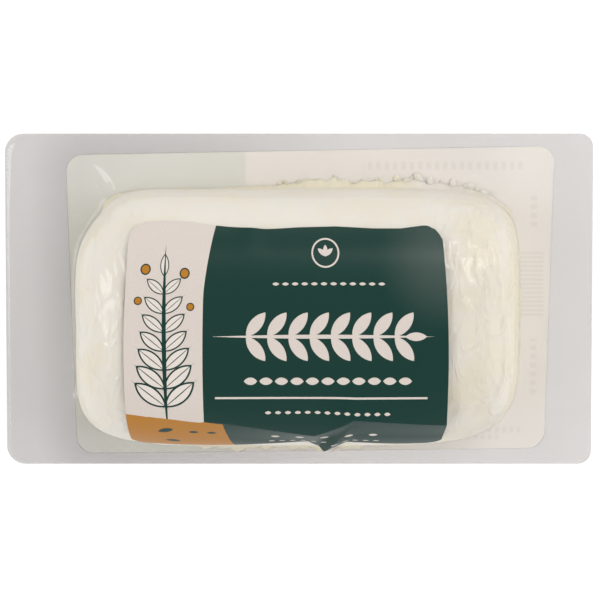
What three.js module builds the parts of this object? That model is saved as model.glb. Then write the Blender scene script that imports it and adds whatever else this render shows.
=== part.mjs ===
// A fresh goat cheese log in a clear vacuum pack, lying on its back with the label up.
// A formed web of film is drawn tight over the log and sealed to a flat web behind it, which leaves
// a flat rim of film all round. A paper label is stuck over the log and a larger one on the back.
// Millimetres: X along the log, Y across it, Z up. The origin is under the middle of the rim.
import * as THREE from "three";

// The sealed film, whose left corners are cut rounder than its right ones.
const PACK_LENGTH = 105.5;
const PACK_WIDTH = 60;
const CORNER_LEFT = 3.4;
const CORNER_RIGHT = 2.4;
const FILM = 0.4; // both webs at the rim

// The back label, stuck a little askew under the flat web, and wider along its far edge.
const BACK_POINTS = [
  new THREE.Vector2(45.9, 27.8),
  new THREE.Vector2(-41.9, 26.2),
  new THREE.Vector2(-40.1, -28.1),
  new THREE.Vector2(44.3, -27.2),
];
const BACK_CORNER = 3.2;
const PAPER = 0.25;
const GAP = 0.3; // clearance between a label and the film it is stuck to

// The log as the vacuum leaves it: a loaf with a flat back, a low crown and steep sides.
// Its foot lies nearer one long edge of the rim, and its crown leans back over the middle.
const LOG_LENGTH = 79.2;
const LOG_WIDTH = 46.4;
const LOG_HEIGHT = 34.6;
const LOG_OFFSET_X = -0.5;
const LOG_OFFSET_Y = -2.8;
const LEAN = 3; // how far the crown line stands off the middle of the foot
const END_DEPTH = 14; // length of each rounded end, from the level crown to the end face
const PROFILE_POWER = 3.7; // superellipse power of the profile from crown to base
const CORNER_POWERS = { right: { far: 6.4, near: 4.8 }, left: { far: 10, near: 5.6 } };
const CHAMFER_ANGLE = THREE.MathUtils.degToRad(139); // the far left corner is squashed flat
const CHAMFER_REACH = 39; // from the log's centre to that flat
const CHAMFER_SHARPNESS = 26;
const BASE_FILLET = 1.5; // film bridges the corner between the log and the rim
const SKIRT = 3.6; // width of the puckered film round the log's foot

// The front label follows the log: level on the crown, bent over the near shoulder.
const LABEL_LENGTH = 56.5;
const LABEL_FAR = 17.2; // from the crown line to the label's far edge, along the surface
const LABEL_NEAR = 27.6; // from the crown line to its near edge
const LABEL_CORNER = 3.2;
const LABEL_OFFSET_X = -2.2;
const LABEL_BOW = 0.05; // share of its length that the label draws in at its two long edges

// The label's loose pinch at its near edge, where it is creased by the curve.
const PINCH = { x: 5.2, lean: 0.5, height: 1.2, width: 1.4, length: 8 };

// Puckers of film that stand up from the rim and run out from the log's foot.
// Each has its angle round the log in degrees, its height and its half width along the foot.
const PUCKERS = [
  { angle: 148, height: 1.5, width: 1.6 },
  { angle: 163, height: 0.7, width: 1.4 },
  { angle: 202, height: 1.0, width: 1.5 },
  { angle: 216, height: 0.7, width: 1.8 },
  { angle: 36, height: 0.8, width: 1.5 },
  { angle: 20, height: 0.9, width: 1.3 },
  { angle: -24, height: 0.8, width: 1.7 },
  { angle: -40, height: 0.6, width: 1.5 },
];

// Cheese squeezed into the seam along the far side makes a row of low lumps.
const LUMPS = { count: 17, from: 34, to: 112, height: 0.8, width: 1.5, seed: 11 };

// Folds of film that run round the log's right end, each at its own share of the height.
const END_FOLDS = [
  { level: 0.22, height: 0.5 },
  { level: 0.45, height: 0.7 },
  { level: 0.7, height: 0.5 },
];
const END_FOLD_WIDTH = 0.055; // half width, as a share of the log's height
const END_FOLD_SPREAD = THREE.MathUtils.degToRad(34);

// Fineness of the facets.
const OUTLINE_POINTS = 128;
const PROFILE_STEPS = 20;
const FILLET_STEPS = 4;
const SKIRT_STEPS = 4;
const CORNER_STEPS = 6;
const LABEL_COLUMNS = 30;
const LABEL_ROWS = 22;
const HALVINGS = 40; // steps of the search for a place on the profile
const RAYS_PER_POINT = 16; // rays cast round the foot for each point that is kept

const RIM_BOTTOM = PAPER + GAP;
const RIM_TOP = RIM_BOTTOM + FILM;
const HALF_LENGTH = LOG_LENGTH / 2;
const HALF_WIDTH = LOG_WIDTH / 2;
const SPINE = HALF_LENGTH - END_DEPTH;

// A seeded draw between 0 and 1, so that the pack comes out the same each time.
function seededDraw(seed) {
  let state = seed;
  return () => {
    state = (state * 16807) % 2147483647;
    return state / 2147483647;
  };
}

// A smooth bump, 1 at the middle and 0 from one width away.
function bump(distance, width) {
  const share = Math.min(Math.abs(distance) / width, 1);
  return (1 - share * share) ** 2;
}

function angleBetween(a, b) {
  return Math.abs(THREE.MathUtils.euclideanModulo(a - b + Math.PI, 2 * Math.PI) - Math.PI);
}

// The log's foot in plan: 1 on the outline, less inside, measured from the log's centre.
function footShare(x, y) {
  const corners = x > 0 ? CORNER_POWERS.right : CORNER_POWERS.left;
  const power = y > 0 ? corners.far : corners.near;
  const loaf = (Math.abs(x / HALF_LENGTH) ** power + Math.abs(y / HALF_WIDTH) ** power) ** (1 / power);
  const towards = x * Math.cos(CHAMFER_ANGLE) + y * Math.sin(CHAMFER_ANGLE);
  const flat = Math.max(towards, 0) / CHAMFER_REACH;
  return (loaf ** CHAMFER_SHARPNESS + flat ** CHAMFER_SHARPNESS) ** (1 / CHAMFER_SHARPNESS);
}

// How far out a point lies on the profile: 0 along the crown, 1 at the foot.
// Each level of the loaf is the foot's outline, drawn in more at the sides than at the ends.
function profileShare(x, y) {
  let low = 0;
  let high = 1;
  for (let i = 0; i < HALVINGS; i++) {
    const share = (low + high) / 2;
    const lengthwise = (x * HALF_LENGTH) / (SPINE + END_DEPTH * share);
    const inside = footShare(lengthwise, y / share) < 1;
    if (inside) high = share;
    else low = share;
  }
  return high;
}

function heightAtShare(share) {
  return RIM_BOTTOM + LOG_HEIGHT * (1 - share ** PROFILE_POWER) ** (1 / PROFILE_POWER);
}

// A point of the upright loaf, leant back and set in its place on the rim.
function placed(x, y, z) {
  const leant = y + LEAN * ((z - RIM_BOTTOM) / LOG_HEIGHT);
  return new THREE.Vector3(x + LOG_OFFSET_X, leant + LOG_OFFSET_Y, z);
}

// The film's upper surface over a place on the upright loaf.
function surfacePoint(x, y) {
  return placed(x, y, heightAtShare(profileShare(x, y)));
}

function surfaceNormal(x, y) {
  const step = 0.05;
  const alongX = surfacePoint(x + step, y).sub(surfacePoint(x - step, y));
  const alongY = surfacePoint(x, y + step).sub(surfacePoint(x, y - step));
  return alongX.cross(alongY).normalize();
}

// Where a ray from the log's centre meets the foot's outline.
function footPoint(angle) {
  const ray = new THREE.Vector2(Math.cos(angle), Math.sin(angle));
  return ray.divideScalar(footShare(ray.x, ray.y));
}

// Points spaced evenly round the log's foot, anticlockwise from its right end.
function footOutline() {
  const rays = OUTLINE_POINTS * RAYS_PER_POINT;
  const dense = [];
  for (let i = 0; i <= rays; i++) dense.push(footPoint((2 * Math.PI * i) / rays));
  const path = new THREE.CurvePath();
  for (let i = 0; i < rays; i++) path.add(new THREE.LineCurve(dense[i], dense[i + 1]));
  return path.getSpacedPoints(OUTLINE_POINTS).slice(0, OUTLINE_POINTS);
}

// A rectangle with round corners, anticlockwise, with its own radius at each end.
function roundedRectangle(length, width, leftCorner, rightCorner) {
  const corners = [
    { x: 1, y: 1, radius: rightCorner },
    { x: -1, y: 1, radius: leftCorner },
    { x: -1, y: -1, radius: leftCorner },
    { x: 1, y: -1, radius: rightCorner },
  ];
  const points = [];
  corners.forEach(({ x, y, radius }, turn) => {
    for (let i = 0; i <= CORNER_STEPS; i++) {
      const angle = (turn + i / CORNER_STEPS) * (Math.PI / 2);
      points.push(
        new THREE.Vector2(
          x * (length / 2 - radius) + radius * Math.cos(angle),
          y * (width / 2 - radius) + radius * Math.sin(angle),
        ),
      );
    }
  });
  return points;
}

// An outline of straight edges, anticlockwise, with all its corners rounded.
function roundedOutline(corners, radius) {
  const points = [];
  corners.forEach((corner, i) => {
    const behind = corners.at(i - 1).clone().sub(corner).normalize();
    const ahead = corners[(i + 1) % corners.length].clone().sub(corner).normalize();
    const half = behind.angleTo(ahead) / 2;
    const inward = behind.clone().add(ahead).normalize();
    const centre = corner.clone().addScaledVector(inward, radius / Math.sin(half));
    const first = corner.clone().addScaledVector(behind, radius / Math.tan(half));
    const sweep = (Math.PI - 2 * half) / CORNER_STEPS;
    for (let step = 0; step <= CORNER_STEPS; step++) {
      points.push(first.clone().rotateAround(centre, sweep * step));
    }
  });
  return points;
}

// Collects shared points and triangles of one closed surface.
class Surface {
  positions = [];
  triangles = [];

  ring(points) {
    const first = this.positions.length / 3;
    points.forEach((p) => this.positions.push(p.x, p.y, p.z));
    return points.map((_, i) => first + i);
  }

  // A band of faces between two rings of equal count, facing left of the way from a to b.
  band(a, b, closed = true) {
    const last = closed ? a.length : a.length - 1;
    for (let i = 0; i < last; i++) {
      const j = (i + 1) % a.length;
      this.triangles.push(a[i], b[j], b[i], a[i], a[j], b[j]);
    }
  }

  // A flat face inside an outline, round an optional hole, facing up or down.
  face(outline, outlineIndex, hole = [], holeIndex = [], up = true) {
    const index = [...outlineIndex, ...holeIndex];
    for (const [a, b, c] of THREE.ShapeUtils.triangulateShape(outline, hole.length ? [hole] : [])) {
      const corners = [a, b, c].map((i) => index[i]);
      this.triangles.push(...(up ? corners : corners.reverse()));
    }
  }

  geometry() {
    const made = new THREE.BufferGeometry();
    made.setAttribute("position", new THREE.Float32BufferAttribute(this.positions, 3));
    made.setIndex(this.triangles);
    made.computeVertexNormals();
    return made;
  }
}

// How high the film stands above the bare rim at a place on the foot, by the puckers and lumps.
function puckerHeights(foot) {
  const draw = seededDraw(LUMPS.seed);
  const lumps = [];
  for (let i = 0; i < LUMPS.count; i++) {
    const angle = THREE.MathUtils.lerp(LUMPS.from, LUMPS.to, (i + draw()) / LUMPS.count);
    lumps.push({ angle, height: LUMPS.height * (0.4 + 0.6 * draw()), width: LUMPS.width * (0.7 + draw()) });
  }
  const raised = [...PUCKERS, ...lumps].map((one) => {
    return { ...one, centre: footPoint(THREE.MathUtils.degToRad(one.angle)) };
  });
  const raisedBy = (p, one) => one.height * bump(p.distanceTo(one.centre), one.width);
  return foot.map((p) => raised.reduce((sum, one) => sum + raisedBy(p, one), 0));
}

// Folds stand out from the right end and fade round its corners.
function endFold(p, level) {
  const spread = bump(angleBetween(Math.atan2(p.y / HALF_WIDTH, p.x / HALF_LENGTH), 0), END_FOLD_SPREAD);
  const folds = END_FOLDS.map((one) => one.height * bump(level - one.level, END_FOLD_WIDTH));
  return spread * Math.max(...folds);
}

// The sealed pack: film and log as one solid, with a flat back.
function filmPack() {
  const surface = new Surface();
  const foot = footOutline();
  const outward = foot.map((p, i) => {
    const before = foot[(i + OUTLINE_POINTS - 1) % OUTLINE_POINTS];
    const after = foot[(i + 1) % OUTLINE_POINTS];
    return new THREE.Vector2(after.y - before.y, before.x - after.x).normalize();
  });
  const pucker = puckerHeights(foot);
  const place = (p, out, i, z) => placed(p.x + outward[i].x * out, p.y + outward[i].y * out, z);

  // Levels of the loaf, from the first ring round the crown to the top of the fillet.
  const filletTop = RIM_TOP + BASE_FILLET;
  const rings = [];
  for (let step = 1; step <= PROFILE_STEPS; step++) {
    const turn = (Math.PI / 2) * (step / PROFILE_STEPS);
    const rise = Math.cos(turn) ** (2 / PROFILE_POWER);
    const z = Math.max(RIM_BOTTOM + LOG_HEIGHT * rise, filletTop);
    const share = (1 - ((z - RIM_BOTTOM) / LOG_HEIGHT) ** PROFILE_POWER) ** (1 / PROFILE_POWER);
    const lengthwise = (SPINE + END_DEPTH * share) / HALF_LENGTH;
    const level = (z - RIM_BOTTOM) / LOG_HEIGHT;
    rings.push(
      foot.map((p, i) => place(new THREE.Vector2(p.x * lengthwise, p.y * share), endFold(p, level), i, z)),
    );
  }

  // The concave fillet at the foot, then the puckered skirt that runs out level with the rim.
  for (let step = 1; step <= FILLET_STEPS; step++) {
    const turn = (Math.PI / 2) * (step / FILLET_STEPS);
    const out = BASE_FILLET * (1 - Math.cos(turn));
    const z = RIM_TOP + BASE_FILLET * (1 - Math.sin(turn));
    rings.push(foot.map((p, i) => place(p, out, i, z + pucker[i] * (step / FILLET_STEPS))));
  }
  for (let step = 1; step <= SKIRT_STEPS; step++) {
    const along = step / SKIRT_STEPS;
    const out = THREE.MathUtils.lerp(BASE_FILLET, SKIRT, along);
    rings.push(foot.map((p, i) => place(p, out, i, RIM_TOP + pucker[i] * (1 - along) ** 2)));
  }

  const indexes = rings.map((ring) => surface.ring(ring));
  indexes.slice(1).forEach((inner, i) => surface.band(inner, indexes[i]));

  // The crown inside the first ring is a fan round its middle.
  const [crownRing] = indexes;
  const [middle] = surface.ring([surfacePoint(0, 0)]);
  crownRing.forEach((point, i) => {
    surface.triangles.push(middle, point, crownRing[(i + 1) % OUTLINE_POINTS]);
  });

  // The rim: its upper face round the skirt, its cut edge and its flat back.
  const edge = roundedRectangle(PACK_LENGTH, PACK_WIDTH, CORNER_LEFT, CORNER_RIGHT);
  const upper = surface.ring(edge.map((p) => new THREE.Vector3(p.x, p.y, RIM_TOP)));
  const lower = surface.ring(edge.map((p) => new THREE.Vector3(p.x, p.y, RIM_BOTTOM)));
  const skirt = rings.at(-1).map((p) => new THREE.Vector2(p.x, p.y));
  surface.face(edge, upper, [...skirt].reverse(), [...indexes.at(-1)].reverse());
  surface.band(lower, upper);
  surface.face(edge, lower, [], [], false);
  return surface.geometry();
}

// The place on the log that lies a given way from the crown line, measured along the surface.
function alongSurface(x, distance) {
  const step = 0.1;
  const side = Math.sign(distance) || 1;
  let y = 0;
  let left = Math.abs(distance);
  let here = surfacePoint(x, 0);
  while (left > 0) {
    const next = surfacePoint(x, y + side * step);
    const length = here.distanceTo(next);
    y += side * step * Math.min(left / length, 1);
    left -= length;
    here = next;
  }
  return y;
}

// The pinch lifts the label along a slanting ridge that dies away from the near edge.
function pinchHeight(x, fromNearEdge) {
  const ridge = PINCH.x + PINCH.lean * fromNearEdge;
  const fade = Math.max(1 - fromNearEdge / PINCH.length, 0);
  return PINCH.height * fade * bump(x - ridge, PINCH.width);
}

// The front label: a sheet of even thickness that follows the log a little above the film.
function frontLabel() {
  const surface = new Surface();
  const width = LABEL_FAR + LABEL_NEAR;
  const across = [];
  for (let i = 0; i <= CORNER_STEPS; i++) {
    across.push(LABEL_CORNER * (1 - Math.cos((Math.PI / 2) * (i / CORNER_STEPS))));
  }
  for (let i = 1; i < LABEL_ROWS; i++) {
    across.push(THREE.MathUtils.lerp(LABEL_CORNER, width - LABEL_CORNER, i / LABEL_ROWS));
  }
  for (let i = CORNER_STEPS; i >= 0; i--) across.push(width - across[i]);

  const under = [];
  const over = [];
  for (const fromNearEdge of across) {
    const intoCorner = Math.max(LABEL_CORNER - Math.min(fromNearEdge, width - fromNearEdge), 0);
    const cut = LABEL_CORNER - Math.sqrt(LABEL_CORNER ** 2 - intoCorner ** 2);
    const bow = LABEL_BOW * ((2 * fromNearEdge) / width - 1) ** 2;
    const half = (LABEL_LENGTH / 2) * (1 - bow) - cut;
    const lower = [];
    const upper = [];
    for (let column = 0; column <= LABEL_COLUMNS; column++) {
      const x = THREE.MathUtils.lerp(-half, half, column / LABEL_COLUMNS) + LABEL_OFFSET_X - LOG_OFFSET_X;
      const y = alongSurface(x, fromNearEdge - LABEL_NEAR);
      const normal = surfaceNormal(x, y);
      const lift = GAP + pinchHeight(x, fromNearEdge);
      lower.push(surfacePoint(x, y).addScaledVector(normal, lift));
      upper.push(surfacePoint(x, y).addScaledVector(normal, lift + PAPER));
    }
    under.push(surface.ring(lower));
    over.push(surface.ring(upper));
  }

  const rows = across.length - 1;
  const columnOf = (sheet, column) => sheet.map((row) => row[column]);
  for (let row = 0; row < rows; row++) {
    surface.band(over[row], over[row + 1], false);
    surface.band(under[row + 1], under[row], false);
  }
  surface.band(under[0], over[0], false);
  surface.band(over[rows], under[rows], false);
  surface.band(columnOf(over, 0), columnOf(under, 0), false);
  surface.band(columnOf(under, LABEL_COLUMNS), columnOf(over, LABEL_COLUMNS), false);
  return surface.geometry();
}

// The back label: a flat sheet with round corners, the face that the pack rests on.
function backLabel() {
  const outline = roundedOutline(BACK_POINTS, BACK_CORNER);
  return new THREE.ExtrudeGeometry(new THREE.Shape(outline), { depth: PAPER, bevelEnabled: false });
}

function piece(name, geometry, colour, roughness) {
  const material = new THREE.MeshStandardMaterial({ color: colour, roughness, metalness: 0 });
  const mesh = new THREE.Mesh(geometry, material);
  mesh.name = name;
  return mesh;
}

const pack = new THREE.Group();
pack.add(
  piece("back_label", backLabel(), 0xe4ddd5, 0.6),
  piece("film_pack", filmPack(), 0xe9e4d9, 0.25),
  piece("front_label", frontLabel(), 0x29443d, 0.5),
);

export default pack;
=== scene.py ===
import functools
import math

import bpy
import numpy as np
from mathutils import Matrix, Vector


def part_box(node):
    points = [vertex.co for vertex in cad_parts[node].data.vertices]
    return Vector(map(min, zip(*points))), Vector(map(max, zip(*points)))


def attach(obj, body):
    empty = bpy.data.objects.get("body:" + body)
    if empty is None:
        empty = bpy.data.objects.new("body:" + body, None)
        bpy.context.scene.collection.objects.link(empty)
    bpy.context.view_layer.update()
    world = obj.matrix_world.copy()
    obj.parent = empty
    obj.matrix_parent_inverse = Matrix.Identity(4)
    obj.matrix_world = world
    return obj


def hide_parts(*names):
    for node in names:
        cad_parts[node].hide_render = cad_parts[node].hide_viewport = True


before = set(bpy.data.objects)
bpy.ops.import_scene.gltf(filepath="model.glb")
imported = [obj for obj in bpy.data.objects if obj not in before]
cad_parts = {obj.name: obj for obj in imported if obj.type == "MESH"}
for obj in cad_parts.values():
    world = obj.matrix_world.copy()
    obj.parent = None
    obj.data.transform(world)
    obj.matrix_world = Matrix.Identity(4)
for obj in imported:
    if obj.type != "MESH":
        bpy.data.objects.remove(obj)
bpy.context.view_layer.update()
bpy.ops.object.select_all(action="DESELECT")

# Cheese log
# Soft fresh goat cheese, rolled into a log and pressed by the vacuum into a loaf with a flat back.
# Its foot stands nearer one long edge of the pack, and its crown leans back over the middle.
MM = 0.001
pack_low, pack_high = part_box("film_pack")
FILM_ROOM = 0.3 * MM  # the film over the cheese and the little air under it
LOG_LENGTH = 79.2 * MM - 2 * FILM_ROOM
LOG_WIDTH = 46.4 * MM - 2 * FILM_ROOM
LOG_HEIGHT = pack_high.z - pack_low.z - FILM_ROOM
LOG_X = -0.5 * MM
LOG_Y = -2.8 * MM
LEAN = 3 * MM  # how far the crown line stands off the middle of the foot
END_DEPTH = 14 * MM  # length of each rounded end, from the level crown to the end face
PROFILE_POWER = 3.7  # superellipse power of the profile from crown to foot
CORNER_POWERS = {"far_right": 6.4, "near_right": 4.8, "far_left": 10.0, "near_left": 5.6}
SQUASH_ANGLE = math.radians(139)  # the far left corner is squashed flat
SQUASH_REACH = 39 * MM - FILM_ROOM
SQUASH_SHARPNESS = 26
FOOT_LIFT = 0.3 * MM  # where the profile starts, over the pack's underside
LABEL_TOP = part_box("back_label")[1].z
WEB = 0.15 * MM
FOOT_Z = LABEL_TOP + WEB + 0.02 * MM  # the log's foot rests on the back web, and that on the label
RING_POINTS = 400
RING_SPACING = 0.5 * MM
CROWN_SHARE = 0.3  # the last ring round the crown, as a share of the foot's width
RAYS_PER_POINT = 16  # rays cast round the foot for each point that is kept
PROFILE_SAMPLES = 4000
HALVINGS = 34  # steps of the search for a place on the profile


def foot_share(x, y):
    """How far out a place lies on the log's foot in plan: 1 on the outline, less inside."""
    right = np.where(y > 0, CORNER_POWERS["far_right"], CORNER_POWERS["near_right"])
    left = np.where(y > 0, CORNER_POWERS["far_left"], CORNER_POWERS["near_left"])
    power = np.where(x > 0, right, left)
    along = np.abs(x / (LOG_LENGTH / 2))
    across = np.abs(y / (LOG_WIDTH / 2))
    loaf = (along**power + across**power) ** (1 / power)
    towards = x * math.cos(SQUASH_ANGLE) + y * math.sin(SQUASH_ANGLE)
    flat = np.maximum(towards, 0) / SQUASH_REACH
    return (loaf**SQUASH_SHARPNESS + flat**SQUASH_SHARPNESS) ** (1 / SQUASH_SHARPNESS)


def foot_point(angle):
    """Where rays from the log's centre meet the outline of its foot."""
    share = foot_share(np.cos(angle), np.sin(angle))
    return np.cos(angle) / share, np.sin(angle) / share


def foot_outline(count):
    """Points spaced evenly round the log's foot, anticlockwise from its right end."""
    x, y = foot_point(np.linspace(0, 2 * math.pi, RAYS_PER_POINT * count + 1))
    run = np.concatenate([[0], np.cumsum(np.hypot(np.diff(x), np.diff(y)))])
    even = np.linspace(0, run[-1], count, endpoint=False)
    return np.interp(even, run, x), np.interp(even, run, y)


def lengthwise(share):
    """How long a level of the loaf is, as a share of the foot's length."""
    return 1 - 2 * END_DEPTH / LOG_LENGTH * (1 - share)


def share_at(rise):
    """How wide a level of the loaf is, as a share of the foot's width, by its share of the height."""
    return (1 - rise**PROFILE_POWER) ** (1 / PROFILE_POWER)


def log_surface(x, y):
    """Points of the log's surface over places in plan, measured on the log before it leans."""
    low = np.zeros_like(x)
    high = np.ones_like(x)
    for _ in range(HALVINGS):
        share = (low + high) / 2
        inside = foot_share(x / lengthwise(share), y / share) < 1
        high = np.where(inside, share, high)
        low = np.where(inside, low, share)
    rise = share_at(high)
    return np.stack([x + LOG_X, y + LOG_Y + LEAN * rise, pack_low.z + LOG_HEIGHT * rise], axis=-1)


def points_of(piece, field="co"):
    """The places or the normals of a piece's points, as rows of three."""
    values = np.empty(3 * len(piece.data.vertices), np.float32)
    piece.data.vertices.foreach_get(field, values)
    return values.reshape(-1, 3).astype(float)


def move_points(piece, places):
    """Puts a piece's points at new places."""
    piece.data.vertices.foreach_set("co", places.astype(np.float32).ravel())
    piece.data.update()


def select_only(piece, chosen):
    """Goes from object into edit mode with only the chosen points of a piece selected."""
    piece.data.polygons.foreach_set("select", [False] * len(piece.data.polygons))
    piece.data.edges.foreach_set("select", [False] * len(piece.data.edges))
    piece.data.vertices.foreach_set("select", chosen.tolist())
    bpy.ops.object.mode_set(mode="EDIT")
    bpy.ops.mesh.select_mode(type="VERT")


def face_outwards():
    """Turns all the faces of the piece in edit mode outwards, and leaves edit mode."""
    bpy.ops.mesh.select_all(action="SELECT")
    bpy.ops.mesh.normals_make_consistent(inside=False)
    bpy.ops.object.mode_set(mode="OBJECT")


def pick(piece):
    """Makes a piece the active one, and the only one that is selected."""
    bpy.ops.object.select_all(action="DESELECT")
    piece.select_set(True)
    bpy.context.view_layer.objects.active = piece


def finish_with(piece, kind, **settings):
    """Puts a modifier on a piece with its settings and applies it at once."""
    bpy.context.view_layer.objects.active = piece
    modifier = piece.modifiers.new(kind, kind)
    for name, value in settings.items():
        setattr(modifier, name, value)
    bpy.ops.object.modifier_apply(modifier=modifier.name)


# The profile from foot to crown, as rings spaced evenly along it.
foot_turn = math.acos((FOOT_LIFT / LOG_HEIGHT) ** (PROFILE_POWER / 2))
crown_turn = math.asin(CROWN_SHARE ** (PROFILE_POWER / 2))
turn = np.linspace(foot_turn, crown_turn, PROFILE_SAMPLES)
shares = np.sin(turn) ** (2 / PROFILE_POWER)
rises = np.cos(turn) ** (2 / PROFILE_POWER)
steps = np.hypot(np.diff(shares) * LOG_WIDTH / 2, np.diff(rises) * LOG_HEIGHT)
profile_run = np.concatenate([[0], np.cumsum(steps)])
ring_runs = np.linspace(0, profile_run[-1], round(profile_run[-1] / RING_SPACING))
shares = np.interp(ring_runs, profile_run, shares)
rises = np.interp(ring_runs, profile_run, rises)

bpy.ops.mesh.primitive_circle_add(vertices=RING_POINTS, radius=LOG_LENGTH / 2)
cheese = bpy.context.object
cheese.name = "cheese_log"
for point, x, y in zip(cheese.data.vertices, *foot_outline(RING_POINTS)):
    point.co = (x + LOG_X, y + LOG_Y + LEAN * rises[0], pack_low.z + LOG_HEIGHT * rises[0])
bpy.ops.object.mode_set(mode="EDIT")
bpy.ops.mesh.select_all(action="SELECT")
for below, above in zip(range(len(rises)), range(1, len(rises))):
    climb = rises[above] - rises[below]
    bpy.ops.mesh.extrude_region_move(
        TRANSFORM_OT_translate={"value": (0, LEAN * climb, LOG_HEIGHT * climb)}
    )
    bpy.ops.transform.resize(
        value=(lengthwise(shares[above]) / lengthwise(shares[below]), shares[above] / shares[below], 1),
        center_override=(LOG_X, LOG_Y + LEAN * rises[above], pack_low.z + LOG_HEIGHT * rises[above]),
    )
bpy.ops.mesh.fill_grid()
bpy.ops.object.mode_set(mode="OBJECT")
# The lowest ring comes down to the back web, and a flat base closes it.
places = points_of(cheese)
lowest = places[:, 2] < pack_low.z + FOOT_LIFT * 1.5
places[lowest, 2] = FOOT_Z
move_points(cheese, places)
select_only(cheese, lowest)
bpy.ops.mesh.edge_face_add()
face_outwards()

# The vacuum has squeezed some curd out at the foot, along both sides and round the right end,
# and into a fold at the squashed corner: angles round the log's centre, and how far out.
SQUEEZE_ANGLES = np.radians((-148, -138, -60, -38, -28, 0, 24, 40, 52, 75, 95, 112, 124, 144, 148, 152))
SQUEEZE_REACH = np.array((0, 2.1, 2.1, 1.2, 1.0, 1.3, 1.2, 1.6, 2.4, 2.2, 0.9, 0.5, 0, 0, 2.2, 0)) * MM
SQUEEZE_HEIGHT = 2.2 * MM
SQUEEZE_SHARE = 0.75
SQUEEZE_WAVES = ((0.15, 9, 1), (0.12, 31, 0), (0.12, 67, 2))  # share, waves round the log and phase


def squeezed(angle):
    """How far curd is squeezed out at the foot, by the angle round the log's centre."""
    uneven = sum(share * np.sin(count * angle + phase) for share, count, phase in SQUEEZE_WAVES)
    return np.interp(angle, SQUEEZE_ANGLES, SQUEEZE_REACH) * (SQUEEZE_SHARE + uneven)


places = points_of(cheese)
out_x, out_y = places[:, 0] - LOG_X, places[:, 1] - LOG_Y
low = np.clip(1 - (places[:, 2] - FOOT_Z) / SQUEEZE_HEIGHT, 0, 1)
push = 1 + squeezed(np.arctan2(out_y, out_x)) * low**2 / np.hypot(out_x, out_y)
places[:, 0] = LOG_X + out_x * push
places[:, 1] = LOG_Y + out_y * push
move_points(cheese, places)

RIDGE_FADE = 0.7  # power of the fade towards a ridge's two ends
RIDGE_SHARPNESS = 1.6  # power of the fall from its crest


def raise_ridge(piece, path, height, width):
    """Draws a piece up into a sharp ridge along a path of points, fading out at its two ends."""
    places = points_of(piece)
    gaps = np.linalg.norm(places[:, None, :] - path[None, :, :], axis=2)
    nearest = gaps.argmin(axis=1)
    fade = np.sin(math.pi * (nearest + 0.5) / len(path)) ** RIDGE_FADE
    lift = height * fade * np.maximum(1 - gaps.min(axis=1) / width, 0) ** RIDGE_SHARPNESS
    move_points(piece, places + points_of(piece, "normal") * lift[:, None])


def between(stops, count):
    """A run of points in plan through some stops given in millimetres."""
    spots = np.linspace(0, len(stops) - 1, count)
    return np.column_stack([np.interp(spots, range(len(stops)), side) for side in zip(*stops)]) * MM


# The film has creased where it couldn't lie smooth, and the curd has taken its creases.
# Each has its stops on the log, its height and its half width, all in millimetres.
LOG_CREASES = (
    (((26.4, 16.9), (32.0, 16.4)), 0.22, 0.9),
    (((27.0, 15.0), (30.8, 14.9)), 0.16, 0.9),
    (((27.2, 13.0), (28.8, 11.0), (29.6, 8.0)), 0.28, 0.8),
    (((31.4, 12.8), (33.2, 8.4)), 0.18, 0.9),
    (((28.6, 5.6), (30.2, 2.6)), 0.22, 0.9),
    (((31.6, 4.6), (33.6, 2.2)), 0.18, 0.9),
    (((30.8, -1.0), (29.2, -6.6)), 0.16, 1.1),
    (((31.2, -10.0), (34.6, -3.6)), 0.16, 1.1),
    (((30.4, -18.4), (34.8, -9.6)), 0.34, 0.9),
    (((35.4, 6.0), (36.4, -3.4), (36.0, -9.4), (34.0, -16.0), (31.6, -20.6)), 0.5, 0.9),
    (((-34.6, 13.8), (-32.4, 8.6)), 0.26, 1.1),
    (((-33.0, 10.4), (-31.2, 4.4)), 0.24, 1.0),
    (((-31.0, 5.6), (-29.8, 1.8)), 0.2, 0.9),
    (((-36.2, 8.0), (-34.8, 2.0), (-35.6, -2.0)), 0.18, 1.0),
    (((-37.4, -3.2), (-35.8, -7.6), (-33.2, -10.8)), 0.42, 0.7),
    (((-35.0, -14.0), (-31.0, -17.6)), 0.2, 1.0),
    (((-14.0, 19.6), (-6.0, 21.2)), 0.1, 1.0),
    (((-10.0, 17.6), (-7.4, 20.4)), 0.08, 1.0),
)
CREASE_POINTS = 24
for stops, height, width in LOG_CREASES:
    plan = between(stops, CREASE_POINTS)
    raise_ridge(cheese, log_surface(plan[:, 0], plan[:, 1]), height * MM, width * MM)

# Folds run round the right end in waves, each at its own share of the log's height and its own depth.
END_FOLDS = ((0.1, 0.5), (0.26, 0.4), (0.42, 0.55), (0.6, 0.35), (0.74, 0.5), (0.88, 0.45))
END_FOLD_WIDTH = 1.4 * MM
END_FOLD_SPREAD = math.radians(44)
END_FOLD_POINTS = 64
END_FOLD_WAVE = 0.025  # share of the height
END_FOLD_TURN = 9  # radians of the wave, and of its start for a fold at the crown
fold_x, fold_y = foot_point(np.linspace(-END_FOLD_SPREAD, END_FOLD_SPREAD, END_FOLD_POINTS))
for level, depth in END_FOLDS:
    wave_turn = np.linspace(0, END_FOLD_TURN, END_FOLD_POINTS) + END_FOLD_TURN * level
    rise = level + END_FOLD_WAVE * np.sin(wave_turn)
    share = share_at(rise)
    path = np.column_stack(
        [
            fold_x * lengthwise(share) + LOG_X,
            fold_y * share + LOG_Y + LEAN * rise,
            pack_low.z + LOG_HEIGHT * rise,
        ]
    )
    raise_ridge(cheese, path, depth * MM, END_FOLD_WIDTH)

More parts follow.
